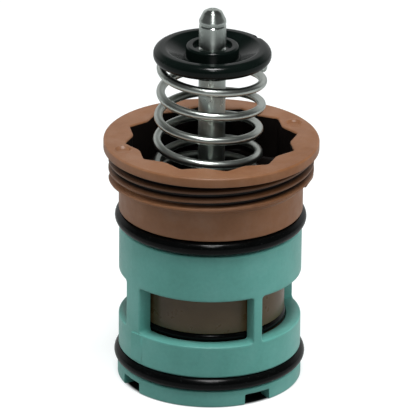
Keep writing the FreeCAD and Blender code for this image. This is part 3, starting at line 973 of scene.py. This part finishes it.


# The collar's colour carries the thread's painted shade.
collar_brown = moulded(
    "collar_brown",
    ((0.180, 0.068, 0.022), (0.225, 0.096, 0.038), (0.285, 0.150, 0.088)),
    (0.36, 0.54), 0.45, 0.012, 3.1, thread_painted_shade, 0.05)
# A near-black material that paints the shade inside the socket.
socket_painted_shade = moulded(
    "socket_painted_shade",
    ((0.003, 0.002, 0.002), (0.005, 0.0035, 0.003), (0.009, 0.006, 0.005)),
    (0.45, 0.60), 0.15, 0.010, 4.4)
cage_green = moulded(
    "cage_green",
    ((0.078, 0.285, 0.240), (0.098, 0.340, 0.298), (0.140, 0.385, 0.345)),
    (0.34, 0.48), 0.55, 0.012, 7.7, None, 0.12)
piston_brown = moulded(
    "piston_brown",
    ((0.062, 0.036, 0.012), (0.082, 0.050, 0.019), (0.110, 0.070, 0.032)),
    (0.26, 0.34), 0.5, 0.005, 11.3)
bearing_white = moulded(
    "bearing_white",
    ((0.52, 0.50, 0.45), (0.60, 0.58, 0.53), (0.66, 0.64, 0.60)),
    (0.40, 0.55), 0.5, 0.006, 5.9)
disc_black = moulded(
    "disc_black",
    ((0.0016, 0.0034, 0.0028), (0.0026, 0.0052, 0.0044), (0.0045, 0.0085, 0.0070)),
    (0.14, 0.22), 0.17, 0.004, 9.2)
seal_black = rubber("seal_black", (0.0020, 0.0024, 0.0024), (0.16, 0.24), 0.12)
spring_wire = steel("spring_wire", ((0.50, 0.54, 0.50), (0.62, 0.67, 0.63)), (0.27, 0.33),
                    (1, 1, 3), 900.0, 0.0008)
stem_turned = steel("stem_turned", ((0.50, 0.56, 0.52), (0.66, 0.72, 0.68)), (0.27, 0.31),
                    (0.25, 0.25, 6), 2600.0, 0.0006, 0.9)
clip_dark = steel("clip_dark", ((0.05, 0.06, 0.06), (0.16, 0.18, 0.17)), (0.30, 0.45), (1, 1, 1), 1800.0)


def dress(thing, material):
    thing.data.materials.clear()
    thing.data.materials.append(material)


def paint_socket_shade(collar):
    """Painted shade: faces inside the socket, below its edge, get a near-black material; the photograph
    shows the inside black there.
    """
    collar.data.materials.append(socket_painted_shade)
    for face in collar.data.polygons:
        centre = face.center / MM
        inside = math.hypot(centre.x, centre.y) < ROOT_RADIUS - 1.0
        if inside and SOCKET_FLOOR - 1.0 < centre.z < COLLAR_TOP - 0.45:
            face.material_index = 1


dress(collar, collar_brown)
paint_socket_shade(collar)
dress(cage, cage_green)
dress(tab, cage_green)
dress(spring, spring_wire)
dress(stem, stem_turned)
dress(disc, disc_black)
dress(piston, piston_brown)
dress(upper_seal, seal_black)
dress(lower_seal, seal_black)
for name, material in {
    "threaded_collar": collar_brown,
    "cage": cage_green,
    "upper_body_oring": seal_black,
    "lower_body_oring": seal_black,
    "return_spring": spring_wire,
    "stem": stem_turned,
    "spring_retainer": disc_black,
    "piston": piston_brown,
    "piston_upper_seal": seal_black,
    "piston_lower_seal": seal_black,
    "stem_oring_upper": seal_black,
    "stem_oring_lower": seal_black,
    "stem_guide": bearing_white,
    "gland_spacer": bearing_white,
    "gland_retainer": bearing_white,
    "spring_seat_washer": clip_dark,
    "piston_upper_washer": stem_turned,
    "piston_lower_washer": stem_turned,
    "piston_nut": stem_turned,
    "retainer_clip": clip_dark,
}.items():
    dress(nodes[name], material)

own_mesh(spring)


# Floor, light and camera

floor_mesh = bpy.data.meshes.new("floor")
floor_mesh.from_pydata([(-3, -3, 0), (3, -3, 0), (3, 3, 0), (-3, 3, 0)], [], [(0, 1, 2, 3)])
floor = bpy.data.objects.new("floor", floor_mesh)
floor.location.z = -0.05 * MM
scene.collection.objects.link(floor)


def floor_paper():
    """White paper. It looks evenly lit and throws little light back, so that undersides stay deep. Under
    the foot it carries a painted shadow, and reflections show a part of its light."""
    shown_in_gloss = 0.25
    # Painted shadow under the foot: inside this ring of radii the paper's colour and its glow fall away.
    edge = (FOOT_RADIUS - 1.0, FOOT_RADIUS + 0.1)
    material, tree, shader = material_tree("floor_paper")
    paper = ramp(tree, pattern(tree, 60.0), ((0.3, (0.27, 0.275, 0.275)), (0.7, (0.30, 0.305, 0.305))))
    out, _ = from_axis(tree)
    shaded = dim(tree, paper, rise(tree, out, *edge, 0.02, 1.0))
    tree.links.new(shaded, shader.inputs["Base Color"])
    shader.inputs["Roughness"].default_value = 0.9
    shader.inputs["Specular IOR Level"].default_value = 0.1
    glow_outside_painted_shadow = rise(tree, out, *edge, 0.0, 0.8)
    glow = tree.nodes.new("ShaderNodeEmission")
    glow.inputs["Color"].default_value = (0.97, 1.0, 1.0, 1)
    tree.links.new(glow_outside_painted_shadow, glow.inputs["Strength"])
    both = tree.nodes.new("ShaderNodeAddShader")
    seen = tree.nodes.new("ShaderNodeLightPath")
    choice = tree.nodes.new("ShaderNodeMixShader")
    tree.links.new(shader.outputs["BSDF"], both.inputs[0])
    tree.links.new(glow.outputs["Emission"], both.inputs[1])
    either = tree.nodes.new("ShaderNodeMath")
    either.operation = "MULTIPLY_ADD"
    tree.links.new(seen.outputs["Is Glossy Ray"], either.inputs[0])
    either.inputs[1].default_value = shown_in_gloss
    tree.links.new(seen.outputs["Is Camera Ray"], either.inputs[2])
    tree.links.new(either.outputs["Value"], choice.inputs["Fac"])
    tree.links.new(shader.outputs["BSDF"], choice.inputs[1])
    tree.links.new(both.outputs["Shader"], choice.inputs[2])
    tree.links.new(choice.outputs["Shader"], tree.nodes["Material Output"].inputs["Surface"])
    return material


dress(floor, floor_paper())

AZIMUTH = math.radians(13.0)
ELEVATION = math.radians(22.75)
ROLL = math.radians(0.6)
DISTANCE = 1.1
LENS = 513.8
right = Vector((math.cos(AZIMUTH), math.sin(AZIMUTH), 0))
away = Vector((-math.sin(AZIMUTH), math.cos(AZIMUTH), 0))
up = Vector((0, 0, 1))
lit_point = up * 0.036


def toward(side, climb):
    """A way out from the part: side is degrees to the right of the camera's own side, climb degrees up."""
    turn, lift = math.radians(side), math.radians(climb)
    level = right * math.sin(turn) - away * math.cos(turn)
    return level * math.cos(lift) + up * math.sin(lift)


def softbox(name, side, climb, distance, wide, tall, power, mirrored):
    """A rectangular light. Distance, width and height are in metres; mirrored lets reflections show it."""
    lamp = bpy.data.lights.new(name, "AREA")
    lamp.shape = "RECTANGLE"
    lamp.size = wide
    lamp.size_y = tall
    lamp.energy = power
    light = bpy.data.objects.new(name, lamp)
    light.location = lit_point + toward(side, climb) * distance
    light.rotation_euler = (lit_point - light.location).to_track_quat("-Z", "Y").to_euler()
    scene.collection.objects.link(light)
    light.visible_glossy = mirrored


for light_row in (
    ("key", 6, 74, 0.80, 0.20, 0.18, 5.0, True),
    ("front_strip", 2, 52, 0.90, 0.08, 0.34, 1.3, True),
    ("front_low", 16, 14, 0.90, 0.40, 0.30, 0.9, False),
    ("right_box", 98, 14, 0.60, 0.28, 0.45, 2.6, False),
    ("left_box", -108, 14, 0.60, 0.22, 0.40, 1.9, False),
):
    softbox(*light_row)


def studio_world():
    """A dim room with a brighter wall behind the part, low down."""
    world = bpy.data.worlds.new("studio")
    scene.world = world
    world.use_nodes = True
    tree = world.node_tree
    place = tree.nodes.new("ShaderNodeTexCoord")
    parts = tree.nodes.new("ShaderNodeSeparateXYZ")
    tree.links.new(place.outputs["Generated"], parts.inputs["Vector"])
    facing = tree.nodes.new("ShaderNodeVectorMath")
    facing.operation = "DOT_PRODUCT"
    facing.inputs[1].default_value = away
    tree.links.new(place.outputs["Generated"], facing.inputs[0])
    behind = map_value(tree, facing.outputs["Value"], 0.25, 0.75, 0.0, 1.0, "SMOOTHSTEP")
    low_down = map_value(tree, parts.outputs["Z"], 0.65, 0.40, 0.0, 1.0, "SMOOTHSTEP")
    wall = combine(tree, "MULTIPLY", behind, low_down)
    background = tree.nodes["Background"]
    background.inputs["Color"].default_value = (1, 1, 1, 1)
    tree.links.new(map_value(tree, wall, 0.0, 1.0, 0.06, 0.60), background.inputs["Strength"])


studio_world()

scene.view_settings.view_transform = "Standard"
scene.view_settings.look = "None"

eye = bpy.data.cameras.new("photo_camera")
eye.sensor_width = 36.0
eye.lens = LENS
eye.clip_start = 0.05
eye.clip_end = 20.0
camera = bpy.data.objects.new("photo_camera", eye)
scene.collection.objects.link(camera)
back = Vector((
    math.sin(AZIMUTH) * math.cos(ELEVATION),
    -math.cos(AZIMUTH) * math.cos(ELEVATION),
    math.sin(ELEVATION),
))
aim = right * -0.000603 + up * 0.03305
camera.location = aim + back * DISTANCE
camera.rotation_mode = "QUATERNION"
facing = (-back).to_track_quat("-Z", "Y")
camera.rotation_quaternion = facing @ Quaternion((0, 0, 1), ROLL)
scene.camera = camera
